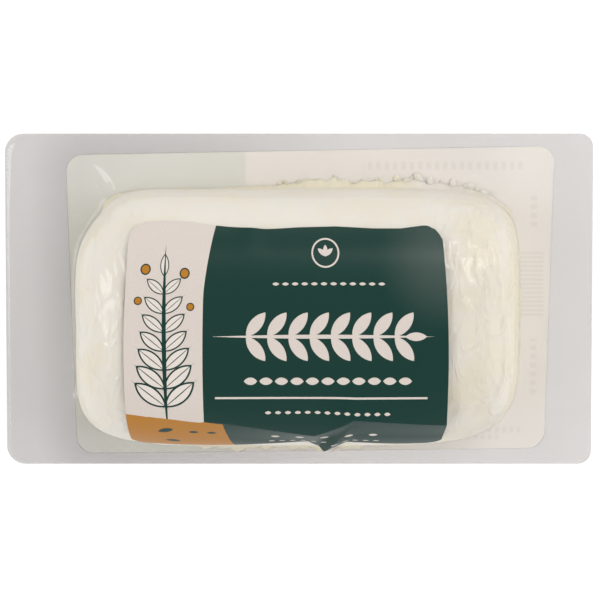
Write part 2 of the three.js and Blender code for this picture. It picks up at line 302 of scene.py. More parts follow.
# Hand rolling leaves broad lumps, and the curd a fine grain.
for name, size, depth in (("rolled_lumps", 13 * MM, 0.34 * MM), ("curd_grain", 2.4 * MM, 0.1 * MM)):
    relief = bpy.data.textures.new(name, "CLOUDS")
    relief.noise_basis = "ORIGINAL_PERLIN"
    relief.noise_scale = size
    finish_with(cheese, "DISPLACE", texture=relief, texture_coords="LOCAL", strength=depth, mid_level=0.5)


def colour(code):
    """An sRGB hex colour as the linear values that shaders use."""
    parts = [int(code[i : i + 2], 16) / 255 for i in (1, 3, 5)]
    return (*(c / 12.92 if c <= 0.04045 else ((c + 0.055) / 1.055) ** 2.4 for c in parts), 1)


def add_node(tree, kind, sockets=None, **settings):
    """Adds a shader node with its settings, sets or links its sockets, and returns its outputs."""
    node = tree.nodes.new("ShaderNode" + kind)
    for name, value in settings.items():
        setattr(node, name, value)
    for socket, value in (sockets or {}).items():
        if isinstance(value, bpy.types.NodeSocket):
            tree.links.new(value, node.inputs[socket])
        else:
            node.inputs[socket].default_value = value
    return node.outputs


def start_material(name, piece):
    """A new material on a piece, with its nodes cleared, and a short way to add nodes to it."""
    material = bpy.data.materials.new(name)
    material.use_nodes = True
    material.node_tree.nodes.clear()
    piece.data.materials.append(material)
    return functools.partial(add_node, material.node_tree)


def crumple(add, place):
    """Height of a crumple of small sharp creases, strong at the right end and weak at the left."""
    drawn_out = add("Mapping", {"Vector": place, "Scale": (1.3, 0.6, 0.6)})[0]
    creases = add(
        "TexNoise",
        {"Vector": drawn_out, "Scale": 1 / (3.4 * MM), "Detail": 4, "Offset": 1.0, "Distortion": 0.9},
        noise_type="RIDGED_MULTIFRACTAL",
    )["Fac"]
    x = add("SeparateXYZ", {0: place})["X"]
    right = add("MapRange", {"Value": x, "From Min": 20 * MM, "From Max": 30 * MM})[0]
    left = add(
        "MapRange", {"Value": x, "From Min": -24 * MM, "From Max": -32 * MM, "To Min": 0.1, "To Max": 0.6}
    )[0]
    strength = add("Math", {0: left, 1: right}, operation="MAXIMUM")[0]
    return add("Math", {0: creases, 1: strength}, operation="MULTIPLY")[0]


# Fresh goat curd: matt, moist and off-white, yellower in patches and where whey has gathered.
# The whey lies along the foot, short of the far right corner, and round the right end.
CURD_WHITE = colour("#d6d1c8")
CURD_YELLOW = colour("#d5cebd")
CURD_WHEY = colour("#d7cfb9")
add = start_material("fresh_goat_curd", cheese)
place = add("TexCoord")["Object"]
patches = add("TexNoise", {"Vector": place, "Scale": 1 / (9 * MM), "Detail": 4})["Fac"]
patches = add("MapRange", {"Value": patches, "From Min": 0.42, "From Max": 0.66})[0]
curd = add("Mix", {"Factor": patches, 6: CURD_WHITE, 7: CURD_YELLOW}, data_type="RGBA")[2]
split = add("SeparateXYZ", {0: place})
whey = add("MapRange", {"Value": split["Z"], "From Min": 4 * MM, "From Max": 1.2 * MM})[0]
wet_side = add("MapRange", {"Value": split["X"], "From Min": 23 * MM, "From Max": 17 * MM})[0]
whey = add("Math", {0: whey, 1: wet_side}, operation="MULTIPLY")[0]
at_end = add("MapRange", {"Value": split["X"], "From Min": 35.5 * MM, "From Max": 38.5 * MM})[0]
whey = add("Math", {0: whey, 1: at_end}, operation="MAXIMUM")[0]
curd = add("Mix", {"Factor": whey, 6: curd, 7: CURD_WHEY}, data_type="RGBA")[2]
grain = add("TexNoise", {"Vector": place, "Scale": 1 / (0.7 * MM), "Detail": 2})["Fac"]
grain = add("Bump", {"Height": grain, "Strength": 0.25, "Distance": 0.05 * MM})[0]
pressed = add("Bump", {"Height": crumple(add, place), "Distance": 0.16 * MM, "Normal": grain})[0]
curd_shader = add(
    "BsdfPrincipled",
    {
        "Base Color": curd,
        "Roughness": 0.5,
        "IOR": 1.4,
        "Subsurface Weight": 0.3,
        "Subsurface Radius": (1.0, 0.8, 0.5),
        "Subsurface Scale": 1.2 * MM,
        "Normal": pressed,
    },
)[0]
add("OutputMaterial", {"Surface": curd_shader})

# Formed web
# A web of clear film, softened and drawn down over the log by the vacuum, with a flat rim all round.
# It grips the cheese, rides over the crumbs at its foot and gathers into pleats at the corners.
RIM_TOP = FOOT_Z + WEB  # the two webs are sealed together as the rim
BASE_FILLET = 0.6 * MM  # the film bridges the corner between the log and the rim
SKIRT = 3.2 * MM  # width of the gathered film round the log's foot
SKIRT_RINGS = 7
FILLET_RINGS = 3
RIM_RINGS = 8
RIM_RADII = (2.4 * MM, 3.4 * MM, 3.4 * MM, 2.4 * MM)  # anticlockwise from the far right corner
RIM_CORNER_POINTS = 24
RIM_EDGE_POINTS = 60

pick(cheese)
bpy.ops.object.duplicate()
film = bpy.context.object
film.name = "formed_web"
film.data.name = "formed_web"
film.data.materials.clear()
finish_with(film, "DISPLACE", strength=FILM_ROOM, mid_level=0)
low_rings = np.count_nonzero(pack_low.z + LOG_HEIGHT * rises < RIM_TOP + BASE_FILLET)
select_only(film, np.arange(len(film.data.vertices)) < low_rings * RING_POINTS)
bpy.ops.mesh.delete(type="VERT")
bpy.ops.mesh.select_all(action="DESELECT")
bpy.ops.mesh.select_non_manifold()


def spread_ring(out_before, out_after, drop):
    """Extrudes the selected ring outwards from the log's foot, and down."""
    bpy.ops.mesh.extrude_region_move(TRANSFORM_OT_translate={"value": (0, 0, -drop)})
    longer = (LOG_LENGTH / 2 + out_after) / (LOG_LENGTH / 2 + out_before)
    wider = (LOG_WIDTH / 2 + out_after) / (LOG_WIDTH / 2 + out_before)
    bpy.ops.transform.resize(value=(longer, wider, 1), center_override=(LOG_X, LOG_Y, 0))


fillet_turns = np.linspace(0, math.pi / 2, FILLET_RINGS + 1)
for before, after in zip(fillet_turns, fillet_turns[1:]):
    spread_ring(
        BASE_FILLET * (1 - math.cos(before)),
        BASE_FILLET * (1 - math.cos(after)),
        BASE_FILLET * (math.sin(after) - math.sin(before)),
    )
skirt_reach = np.linspace(BASE_FILLET, SKIRT, SKIRT_RINGS + 1)
for before, after in zip(skirt_reach, skirt_reach[1:]):
    spread_ring(before, after, 0)
    bpy.ops.transform.resize(value=(1, 1, 0), center_override=(0, 0, RIM_TOP))


def rounded_outline(corners, radii, corner_points):
    """Points round an outline of straight edges, anticlockwise, with its corners rounded."""
    points = []
    for i, (corner, radius) in enumerate(zip(corners, radii)):
        behind = (corners[i - 1] - corner) / np.linalg.norm(corners[i - 1] - corner)
        ahead = corners[(i + 1) % len(corners)] - corner
        ahead = ahead / np.linalg.norm(ahead)
        half = math.acos(behind @ ahead) / 2
        inward = (behind + ahead) / np.linalg.norm(behind + ahead)
        centre = corner + inward * radius / math.sin(half)
        first = math.atan2(*(corner + behind * radius / math.tan(half) - centre)[::-1])
        for turn in np.linspace(first, first + math.pi - 2 * half, corner_points):
            points.append(centre + radius * np.array((math.cos(turn), math.sin(turn))))
    return np.array(points)


# The rim runs on from the skirt, ring by ring, along rays from the log's centre to its own outline.
rim_corners = np.array(
    (
        (pack_high.x, pack_high.y),
        (pack_low.x, pack_high.y),
        (pack_low.x, pack_low.y),
        (pack_high.x, pack_low.y),
    )
)
rim_outline = rounded_outline(rim_corners, RIM_RADII, RIM_CORNER_POINTS)
rim_edges = [
    np.linspace(start, end, RIM_EDGE_POINTS)
    for start, end in zip(rim_outline, np.roll(rim_outline, -1, axis=0))
]
edge_points = np.concatenate(rim_edges) - (LOG_X, LOG_Y)
edge_angles = np.arctan2(edge_points[:, 1], edge_points[:, 0])
edge_reach = np.hypot(edge_points[:, 0], edge_points[:, 1])
for rings_left in range(RIM_RINGS, 0, -1):
    bpy.ops.mesh.extrude_region_move(TRANSFORM_OT_translate={"value": (0, 0, 0)})
    bpy.ops.object.mode_set(mode="OBJECT")
    places = points_of(film)
    chosen = np.array([point.select for point in film.data.vertices])
    ray_x, ray_y = places[chosen, 0] - LOG_X, places[chosen, 1] - LOG_Y
    reach = np.interp(np.arctan2(ray_y, ray_x), edge_angles, edge_reach, period=2 * math.pi)
    longer = 1 + (reach / np.hypot(ray_x, ray_y) - 1) / rings_left
    places[chosen] = np.column_stack(
        [LOG_X + ray_x * longer, LOG_Y + ray_y * longer, np.full(len(ray_x), RIM_TOP)]
    )
    move_points(film, places)
    bpy.ops.object.mode_set(mode="EDIT")
face_outwards()
if points_of(film, "normal")[:, 2].mean() < 0:
    film.data.flip_normals()
film.data.update()

# The film rides over the curd that is squeezed out at the foot.
places = points_of(film)
out_x, out_y = places[:, 0] - LOG_X, places[:, 1] - LOG_Y
angles = np.arctan2(out_y, out_x)
beyond = np.hypot(out_x, out_y) - np.hypot(*foot_point(angles))
covered = np.clip(beyond / np.maximum(squeezed(angles), 1e-6), 0, 1)
cover = FOOT_Z + SQUEEZE_HEIGHT * (1 - np.sqrt(covered)) + FILM_ROOM
riding = (beyond > 0) & (covered < 1)
places[riding, 2] = np.maximum(places[riding, 2], cover[riding])
move_points(film, places)

# Pleats at the corners stand up from the rim and run out from the log's foot.
# Each has its two ends in plan, its height and its half width, all in millimetres.
RIM_PLEATS = (
    ((-33.6, 19.6), (-37.2, 24.4), 1.3, 1.0),
    ((-34.8, 18.8), (-39.2, 21.8), 0.6, 1.2),
    ((-39.0, 14.6), (-41.6, 15.2), 0.5, 0.8),
    ((-38.8, 13.0), (-40.8, 13.0), 0.4, 0.8),
    ((-38.6, -17.0), (-41.2, -18.4), 0.7, 1.0),
    ((34.4, 19.4), (36.0, 21.0), 0.3, 0.9),
    ((36.6, -18.4), (38.6, -19.8), 0.3, 1.0),
)
PLEAT_POINTS = 12
for start, end, height, width in RIM_PLEATS:
    plan = between((start, end), PLEAT_POINTS)
    path = np.column_stack([plan, np.full(len(plan), RIM_TOP)])
    raise_ridge(film, path, height * MM, width * MM)

# Crumbs of cheese caught in the seam along the far side and round the far right corner.
# Fine ones are strewn along it, most of them close to the curd and small, and a few are coarse.
FINE_CRUMBS = 60
FINE_SIZES = (0.15 * MM, 0.45 * MM)
FINE_BETWEEN = (math.radians(30), math.radians(112))
CRUMB_REACH = 0.9 * MM
CRUMB_SUNK = 0.15  # share of the reach by which the closest crumbs sink into the curd
COARSE_CRUMBS = (  # place in plan and half width, in millimetres
    (17.6, 21.8, 0.6),
    (19.3, 21.4, 0.6),
    (21.4, 22.0, 0.7),
    (23.5, 21.4, 0.6),
    (27.6, 21.0, 0.6),
    (30.4, 20.3, 0.8),
    (33.2, 19.1, 0.7),
)
CRUMB_FLATNESS = 0.22
CRUMB_STRETCH = 0.8
CRUMB_COVER = 3  # half lengths of a crumb over which the film comes back down
draw = np.random.default_rng(11)
crumb_spots = [(x * MM, y * MM, size * MM) for x, y, size in COARSE_CRUMBS]
for _ in range(FINE_CRUMBS):
    angle = np.interp(draw.random(), (0, 1), FINE_BETWEEN)
    edge_x, edge_y = foot_point(angle)
    off_curd = squeezed(angle) + (draw.random() ** 2 - CRUMB_SUNK) * CRUMB_REACH
    away = 1 + off_curd / math.hypot(edge_x, edge_y)
    size = np.interp(draw.random() ** 2, (0, 1), FINE_SIZES)
    crumb_spots.append((edge_x * away + LOG_X, edge_y * away + LOG_Y, size))
crumbs = []
film_places = points_of(film)
for x, y, size in crumb_spots:
    half_length = size * (1 + CRUMB_STRETCH * draw.random())
    bpy.ops.mesh.primitive_ico_sphere_add(
        subdivisions=3,
        radius=1,
        location=(x, y, FOOT_Z + size * CRUMB_FLATNESS),
        rotation=(0, 0, draw.random() * math.pi),
        scale=(half_length, size, size * CRUMB_FLATNESS),
    )
    crumbs.append(bpy.context.object)
    crumbs[-1].data.materials.append(cheese.data.materials[0])
    gap = np.hypot(film_places[:, 0] - x, film_places[:, 1] - y) / (CRUMB_COVER * half_length)
    tent = FOOT_Z + (2 * size * CRUMB_FLATNESS + FILM_ROOM) * np.maximum(1 - gap**2, 0)
    lifted = (gap < 1) & (film_places[:, 2] < RIM_TOP + BASE_FILLET)
    film_places[lifted, 2] = np.maximum(film_places[lifted, 2], tent[lifted])
move_points(film, film_places)
ragged = bpy.data.textures.new("ragged_crumbs", "CLOUDS")
ragged.noise_scale = 0.5 * MM
bpy.ops.object.select_all(action="DESELECT")
for crumb in crumbs:
    finish_with(
        crumb, "DISPLACE", texture=ragged, texture_coords="GLOBAL", strength=0.18 * MM, mid_level=0.6
    )
    crumb.select_set(True)
cheese.select_set(True)
bpy.context.view_layer.objects.active = cheese
bpy.ops.object.join()
bpy.ops.object.shade_smooth_by_angle(angle=math.radians(60))
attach(cheese, "root")
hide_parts("film_pack")

# Stretch marks and tiny puckers of the film between its creases.
crinkle = bpy.data.textures.new("film_crinkle", "CLOUDS")
crinkle.noise_scale = 3.2 * MM
over_log = film.vertex_groups.new(name="over_log")
over_log.add(np.flatnonzero(points_of(film)[:, 2] > RIM_TOP + 1 * MM).tolist(), 1, "REPLACE")
finish_with(
    film,
    "DISPLACE",
    texture=crinkle,
    texture_coords="LOCAL",
    vertex_group="over_log",
    strength=0.12 * MM,
    mid_level=0.5,
)
finish_with(film, "SOLIDIFY", thickness=WEB, offset=-1)
pick(film)
bpy.ops.object.shade_smooth()

# Clear coextruded film: nearly invisible but for its gloss, which its fine crinkles break up.
# Only its outer side mirrors, because the inner side is wetted by the cheese.
GLANCING_GLOSS = 0.07
add = start_material("clear_coextruded_film", film)
place = add("TexCoord")["Object"]
fine = add("TexNoise", {"Vector": place, "Scale": 1 / (1.1 * MM), "Detail": 3})["Fac"]
fine = add("Bump", {"Height": fine, "Strength": 0.3, "Distance": 0.08 * MM})[0]
split = add("SeparateXYZ", {0: place})
gripping = add("MapRange", {"Value": split["Z"], "From Min": 2 * MM, "From Max": 6 * MM})[0]
fine = add(
    "Bump",
    {"Height": crumple(add, place), "Strength": gripping, "Distance": 0.2 * MM, "Normal": fine},
)[0]
mirrored = add("Fresnel", {"IOR": 1.46, "Normal": fine})[0]
mirrored = add("Math", {0: mirrored, 1: GLANCING_GLOSS}, operation="MINIMUM")[0]
# Whey under the film dulls it at the foot, except at the left end.
wetted = add("MapRange", {"Value": split["Z"], "From Min": 3 * MM, "From Max": 2 * MM})[0]
off_left = add("MapRange", {"Value": split["X"], "From Min": -30 * MM, "From Max": -20 * MM})[0]
wetted = add("Math", {0: wetted, 1: off_left}, operation="MULTIPLY")[0]
wetted = add("MapRange", {"Value": wetted, "To Min": 1.0, "To Max": 0.25})[0]
inside = add("NewGeometry")["Backfacing"]
outside = add("Math", {0: 1, 1: inside}, operation="SUBTRACT")[0]
for share in (wetted, outside):
    mirrored = add("Math", {0: mirrored, 1: share}, operation="MULTIPLY")[0]
clear = add("BsdfTransparent", {"Color": (0.99, 0.988, 0.985, 1)})[0]
gloss = add("BsdfGlossy", {"Color": (1, 1, 1, 1), "Roughness": 0.17, "Normal": fine})[0]
film_shader = add("MixShader", {0: mirrored, 1: clear, 2: gloss})[0]
add("OutputMaterial", {"Surface": film_shader})
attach(film, "root")
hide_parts("film_pack")

# Back web
# A flat web of clear film behind the log, heat sealed to the formed web all round.
# Its outer side is matt and greys what lies behind it, except where a label's glue wets it clear.
BACK_POINTS = np.array(((45.9, 27.8), (-41.9, 26.2), (-40.1, -28.1), (44.3, -27.2))) * MM
BACK_CORNER = 3.2 * MM


def cut_sheet(name, outline, height, thickness):
    """A flat sheet with a given outline, extruded up from a filled ring of points."""
    bpy.ops.mesh.primitive_circle_add(vertices=len(outline), radius=1, fill_type="NGON")
    sheet = bpy.context.object
    sheet.name = name
    for point, (x, y) in zip(sheet.data.vertices, outline):
        point.co = (x, y, height)
    bpy.ops.object.mode_set(mode="EDIT")
    bpy.ops.mesh.select_all(action="SELECT")
    bpy.ops.mesh.extrude_region_move(TRANSFORM_OT_translate={"value": (0, 0, thickness)})
    face_outwards()
    return sheet


back_web = cut_sheet("back_web", rim_outline, LABEL_TOP + 0.01 * MM, WEB)

add = start_material("matt_sealing_film", back_web)
place = add("TexCoord")["Object"]
split = add("SeparateXYZ", {0: place})
# How far a place lies past the label's four edges, measured from lines a corner's radius inside them.
past_edges = []
for start, end in zip(BACK_POINTS, np.roll(BACK_POINTS, -1, axis=0)):
    heading = (end - start) / np.linalg.norm(end - start)
    outward = (heading[1], -heading[0], 0)
    inset = start[0] * outward[0] + start[1] * outward[1] - BACK_CORNER
    this_way = add("VectorMath", {0: place, 1: outward}, operation="DOT_PRODUCT")["Value"]
    past_edges.append(add("Math", {0: this_way, 1: inset}, operation="SUBTRACT")[0])
past_far, past_left, past_near, past_right = past_edges
past_ends = add("Math", {0: past_left, 1: past_right}, operation="MAXIMUM")[0]
past_sides = add("Math", {0: past_far, 1: past_near}, operation="MAXIMUM")[0]
past = add("CombineXYZ", {"X": past_ends, "Y": past_sides})[0]
past = add("VectorMath", {0: past, 1: (0, 0, 0)}, operation="MAXIMUM")[0]
past = add("VectorMath", {0: past}, operation="LENGTH")["Value"]
dry = add(
    "MapRange",
    {"Value": past, "From Min": BACK_CORNER - 0.07 * MM, "From Max": BACK_CORNER - 0.01 * MM},
)[0]
# The sealing bars have pressed a knurl of flat diamonds into both long edges, towards the left end.
KNURL_LENGTH = 2.5 * MM
KNURL_WIDTH = 1.45 * MM
KNURL_FROM = 26 * MM
KNURL_LINE = 0.14  # width of a pressed line, as a share of its spacing
KNURL_SHADE = 0.94
x_turns = add("Math", {0: split["X"], 1: KNURL_LENGTH}, operation="DIVIDE")[0]
y_turns = add("Math", {0: split["Y"], 1: KNURL_WIDTH}, operation="DIVIDE")[0]
lines = []
for slant in ("ADD", "SUBTRACT"):
    line = add("Math", {0: x_turns, 1: y_turns}, operation=slant)[0]
    lines.append(add("Math", {0: line, 1: 0.5}, operation="PINGPONG")[0])
knurl = add("Math", {0: lines[0], 1: lines[1]}, operation="MINIMUM")[0]
far_out = add("Math", {0: split["Y"]}, operation="ABSOLUTE")[0]
sealed = add(
    "MapRange", {"Value": far_out, "From Min": KNURL_FROM, "From Max": KNURL_FROM + 2 * MM}
)[0]
deep = add("MapRange", {"Value": split["X"], "From Min": -16 * MM, "From Max": -28 * MM})[0]
sealed = add("Math", {0: sealed, 1: deep}, operation="MULTIPLY")[0]
pressed = add("MapRange", {"Value": knurl, "From Max": KNURL_LINE, "To Min": KNURL_SHADE})[0]
pressed = add("Mix", {"Factor": sealed, "A": 1.0, "B": pressed})[0]
# Painted shade: the film is darkened beside the label, most of all on the left, in place of the shadow
# that the label and the log cast through it.
MATT_TINT = (0.64, 0.625, 0.622, 1)
MATT_HAZE = 0.4
MATT_WHITE = (0.69, 0.67, 0.665)
PAINTED_SHADE_REACH = 7 * MM
leftness = add("MapRange", {"Value": split["X"], "From Min": 10 * MM, "From Max": -20 * MM})[0]
painted_shade = add("MapRange", {"Value": leftness, "To Min": 0.97, "To Max": 0.76})[0]
faint_painted_shade = add("MapRange", {"Value": leftness, "To Min": 1.0, "To Max": 0.92})[0]
away = add("MapRange", {"Value": past, "From Min": BACK_CORNER, "From Max": BACK_CORNER + PAINTED_SHADE_REACH})[0]
painted_shade = add("Mix", {"Factor": away, "A": painted_shade, "B": faint_painted_shade})[0]
clear_tint = add("Mix", {"Factor": dry, 6: (1, 1, 1, 1), 7: MATT_TINT}, data_type="RGBA")[2]
matt_tint = add("VectorMath", {0: MATT_WHITE, "Scale": painted_shade}, operation="SCALE")[0]
painted_shade_where_dry = add("Mix", {"Factor": dry, "A": 1.0, "B": painted_shade})[0]
# The clear film is darkened too: by the painted shade where no glue wets it, and by the knurl.
for shade in (painted_shade_where_dry, pressed):
    clear_tint = add("VectorMath", {0: clear_tint, "Scale": shade}, operation="SCALE")[0]
inside = add("NewGeometry")["Backfacing"]
clear_tint = add("Mix", {"Factor": inside, 6: clear_tint, 7: (1, 1, 1, 1)}, data_type="RGBA")[2]
outside = add("Math", {0: 1, 1: inside}, operation="SUBTRACT")[0]
haze = MATT_HAZE
for share in (dry, outside):
    haze = add("Math", {0: haze, 1: share}, operation="MULTIPLY")[0]
clear = add("BsdfTransparent", {"Color": clear_tint})[0]
matt = add("BsdfDiffuse", {"Color": matt_tint})[0]
web_shader = add("MixShader", {0: haze, 1: clear, 2: matt})[0]
add("OutputMaterial", {"Surface": web_shader})
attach(back_web, "root")
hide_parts("film_pack")

# Back label
# A paper label with round corners, glued a little askew to the outside of the back web.
# Its printed side faces down, and its panels show faintly through to the side that faces the film.
PAPER = 0.25 * MM
back_label = cut_sheet("back_label_sheet", rounded_outline(BACK_POINTS, [BACK_CORNER] * 4, 16), 0, PAPER)

# Uncoated reverse of label paper: matt and pinkish white, greyer where the printed green shows through.
PAPER_WHITE = colour("#d8d3ce")
PAPER_SHOWN_GREEN = colour("#cccbc5")
PRINT_GREEN = colour("#16342e")
PANEL_EDGE = -9.6 * MM  # where the green panel on the printed side ends
# Rows of small marks: their middle, half length, half width and pitch in millimetres, and their way.
MARK_ROWS = (
    ((26.0, 24.2), 14.5, 0.7, 1.5, "X"),
    ((41.4, 3.0), 2.6, 6.0, 0.8, "Y"),
    ((42.2, -12.6), 0.6, 5.4, 1.6, "Y"),
    ((42.2, 16.2), 0.6, 3.4, 1.6, "Y"),
    ((33.0, -23.8), 7.0, 0.5, 1.3, "X"),
    ((31.0, -25.2), 5.0, 0.4, 1.3, "X"),
)


def row_marks(add, place):
    """Where the rows of small marks on the back label lie: 1 on a mark and 0 off it."""
    split = add("SeparateXYZ", {0: place})
    marks = 0.0
    for middle, half_length, half_width, pitch, heading in MARK_ROWS:
        row = 1.0
        for axis, centre, half in (("X", middle[0], half_length), ("Y", middle[1], half_width)):
            within = add("Math", {0: split[axis], 1: centre * MM, 2: half * MM}, operation="COMPARE")[0]
            row = add("Math", {0: row, 1: within}, operation="MULTIPLY")[0]
        wave = add("Math", {0: split[heading], 1: pitch / 2 * MM}, operation="PINGPONG")[0]
        rising = {"Value": wave, "From Min": 0.15 * pitch * MM, "From Max": 0.3 * pitch * MM}
        row = add("Math", {0: row, 1: add("MapRange", rising)[0]}, operation="MULTIPLY")[0]
        marks = add("Math", {0: marks, 1: row}, operation="MAXIMUM")[0]
    return marks


def left_panel(add, place, blur):
    """Where the green panel of the back label lies: 1 on it and 0 off it, with a blurred edge."""
    x = add("SeparateXYZ", {0: place})["X"]
    across_edge = {"Value": x, "From Min": PANEL_EDGE + blur, "From Max": PANEL_EDGE - blur}
    return add("MapRange", across_edge)[0]


add = start_material("label_paper_reverse", back_label)
place = add("TexCoord")["Object"]
panel = left_panel(add, place, 0.25 * MM)
shown = add("Mix", {"Factor": panel, 6: PAPER_WHITE, 7: PAPER_SHOWN_GREEN}, data_type="RGBA")[2]
faint = add("MapRange", {"Value": row_marks(add, place), "To Min": 1.0, "To Max": 0.93})[0]
shown = add("VectorMath", {0: shown, "Scale": faint}, operation="SCALE")[0]
paper_shader = add("BsdfPrincipled", {"Base Color": shown, "Roughness": 0.6})[0]
add("OutputMaterial", {"Surface": paper_shader})

# Coated print on the underside: a green panel, and dark rows on white.
add = start_material("coated_back_print", back_label)
place = add("TexCoord")["Object"]
marks = row_marks(add, place)
print_ink = add("Mix", {"Factor": marks, 6: PAPER_WHITE, 7: PRINT_GREEN}, data_type="RGBA")[2]
panel = left_panel(add, place, 0.02 * MM)
print_ink = add("Mix", {"Factor": panel, 6: print_ink, 7: PRINT_GREEN}, data_type="RGBA")[2]
print_shader = add("BsdfPrincipled", {"Base Color": print_ink, "Roughness": 0.4})[0]
add("OutputMaterial", {"Surface": print_shader})
for face in back_label.data.polygons:
    face.material_index = int(face.normal.z < -0.5)
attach(back_label, "root")
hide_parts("back_label")

# Front label
# A coated paper label stuck over the film: level on the crown, creased over the log's near shoulder.
# It is pinched into a small pleat where it couldn't follow the curve.
LABEL_LENGTH = 56.5 * MM
LABEL_FAR = 17.2 * MM  # from the crown line to the far edge, along the surface
LABEL_NEAR = 27.6 * MM  # from the crown line to the near edge
LABEL_WIDTH = LABEL_FAR + LABEL_NEAR
LABEL_CORNER = 3.2 * MM
LABEL_X = -2.2 * MM
LABEL_GAP = 0.3 * MM
CORNER_CUTS = 8
GRID_ROWS = 130
GRID_COLUMNS = 160
label_middle = (LABEL_FAR - LABEL_NEAR) / 2
bpy.ops.mesh.primitive_grid_add(x_subdivisions=GRID_COLUMNS, y_subdivisions=GRID_ROWS, size=1)
label = bpy.context.object
label.name = "front_label_sheet"
bpy.ops.object.mode_set(mode="EDIT")
bpy.ops.mesh.select_all(action="SELECT")
bpy.ops.transform.resize(value=(LABEL_LENGTH, LABEL_WIDTH, 1), center_override=(0, 0, 0))
bpy.ops.transform.translate(value=(0, label_middle, 0))
for side_x, side_y in ((1, 1), (-1, 1), (-1, -1), (1, -1)):
    for cut in range(CORNER_CUTS):
        angle = (cut + 0.5) / CORNER_CUTS * math.pi / 2
        away = (side_x * math.cos(angle), side_y * math.sin(angle), 0)
        corner = (
            side_x * (LABEL_LENGTH / 2 - LABEL_CORNER) + LABEL_CORNER * away[0],
            side_y * (LABEL_WIDTH / 2 - LABEL_CORNER) + LABEL_CORNER * away[1] + label_middle,
            0,
        )
        bpy.ops.mesh.select_all(action="SELECT")
        bpy.ops.mesh.bisect(plane_co=corner, plane_no=away, clear_outer=True)
bpy.ops.object.mode_set(mode="OBJECT")

# The paper isn't quite flat: its ends draw in towards both long edges, and these edges wave.
BOW = 0.05
FAR_EDGE_U = np.array((-28, -22, -17, -14, -8, -4, 2, 9, 16, 21, 25, 28)) * MM
FAR_EDGE_V = np.array((1.0, 1.3, 1.0, 0.4, -0.3, -0.5, -0.1, 0.1, -0.3, -0.3, 0.3, 0.2)) * MM
NEAR_EDGE_U = np.array((-28, -24, -14, -8, -2, 4, 6, 8, 11, 20, 28)) * MM
NEAR_EDGE_V = np.array((1.4, 1.6, 1.2, 1.6, 2.6, 3.8, 0.6, 0.8, 3.4, 2.0, 1.5)) * MM
# It creases sharply over the near shoulder, lower beside the pleat.
CREASE_U = np.array((-28, -11, 5, 10, 12, 28)) * MM
CREASE_V = np.array((-16.6, -17.2, -19.8, -17.4, -16.2, -17.4)) * MM
CREASE_SHARP = np.array((0.0, 0.6, 1.0, 1.0, 1.0, 1.0))  # it fades out towards the left end
CREASE_HEIGHT = 1.2 * MM
CREASE_FAR = 7 * MM  # how far the paper stands off the log before the crease, and after it
CREASE_NEAR = 5 * MM
CREASE_FALL = 1.8  # power of the fall from the crease
FAR_FADE = 4  # powers by which the far and the near edge's waves fade towards the middle
NEAR_FADE = 6
flat = points_of(label)
from_middle = (flat[:, 1] - label_middle) / (LABEL_WIDTH / 2)
flat[:, 1] += np.interp(flat[:, 0], FAR_EDGE_U, FAR_EDGE_V) * np.clip(from_middle, 0, 1) ** FAR_FADE
flat[:, 1] += np.interp(flat[:, 0], NEAR_EDGE_U, NEAR_EDGE_V) * np.clip(-from_middle, 0, 1) ** NEAR_FADE
crease = np.interp(flat[:, 0], CREASE_U, CREASE_V)
on_crease = np.abs(flat[:, 1] - crease) < LABEL_WIDTH / GRID_ROWS / 2
flat[on_crease, 1] = crease[on_crease]
drawn_in = flat[:, 0] * (1 - BOW * from_middle**2)

# The label is laid on the log: each point keeps its way from the crown line along the surface.
LAID_COLUMNS = 57
LAID_STEPS = 600
LAID_SHARE = 0.995  # of the log's half width, just short of its upright foot
columns = np.linspace(drawn_in.min(), drawn_in.max(), LAID_COLUMNS)
across = np.linspace(-LAID_SHARE, LAID_SHARE, LAID_STEPS) * LOG_WIDTH / 2
laid_columns = []
for column in columns:
    strip = log_surface(np.full_like(across, column + LABEL_X - LOG_X), across)
    strip_steps = np.linalg.norm(np.diff(strip, axis=0), axis=1)
    strip_run = np.concatenate([[0], np.cumsum(strip_steps)])
    strip_run -= np.interp(0, across, strip_run)
    laid_columns.append(np.interp(flat[:, 1], strip_run, across))
laid_columns = np.array(laid_columns)
spot = (drawn_in - columns[0]) / (columns[1] - columns[0])
nearer = np.clip(spot.astype(int), 0, LAID_COLUMNS - 2)
share = spot - nearer
each = np.arange(len(flat))
laid_y = laid_columns[nearer, each] * (1 - share) + laid_columns[nearer + 1, each] * share
move_points(label, log_surface(drawn_in + LABEL_X - LOG_X, laid_y))
bpy.ops.object.mode_set(mode="EDIT")
face_outwards()
if points_of(label, "normal")[:, 2].mean() < 0:
    label.data.flip_normals()

# The paper tents at the crease, and the pleat leans across it, steep on its left side.
PLEAT_FOOT = np.array((6.6, -27.6)) * MM
PLEAT_TIP = np.array((11.8, -17.4)) * MM
PLEAT_HEIGHT = 1.2 * MM
PLEAT_LEFT = 0.7 * MM
PLEAT_RIGHT = 2.6 * MM
past_crease = flat[:, 1] - crease
tent = np.maximum(1 - np.where(past_crease > 0, past_crease / CREASE_FAR, -past_crease / CREASE_NEAR), 0)
sharp = np.interp(flat[:, 0], CREASE_U, CREASE_SHARP)
lift = LABEL_GAP + FILM_ROOM + CREASE_HEIGHT * sharp * tent**CREASE_FALL
pleat_run = PLEAT_TIP - PLEAT_FOOT
up_pleat = ((flat[:, :2] - PLEAT_FOOT) @ pleat_run) / (pleat_run @ pleat_run)
aside = (flat[:, 0] - PLEAT_FOOT[0]) * pleat_run[1] - (flat[:, 1] - PLEAT_FOOT[1]) * pleat_run[0]
aside /= np.linalg.norm(pleat_run)
ridge = np.maximum(1 - np.where(aside < 0, -aside / PLEAT_LEFT, aside / PLEAT_RIGHT), 0)
lift += PLEAT_HEIGHT * ridge * np.clip(1 - up_pleat, 0, 1)
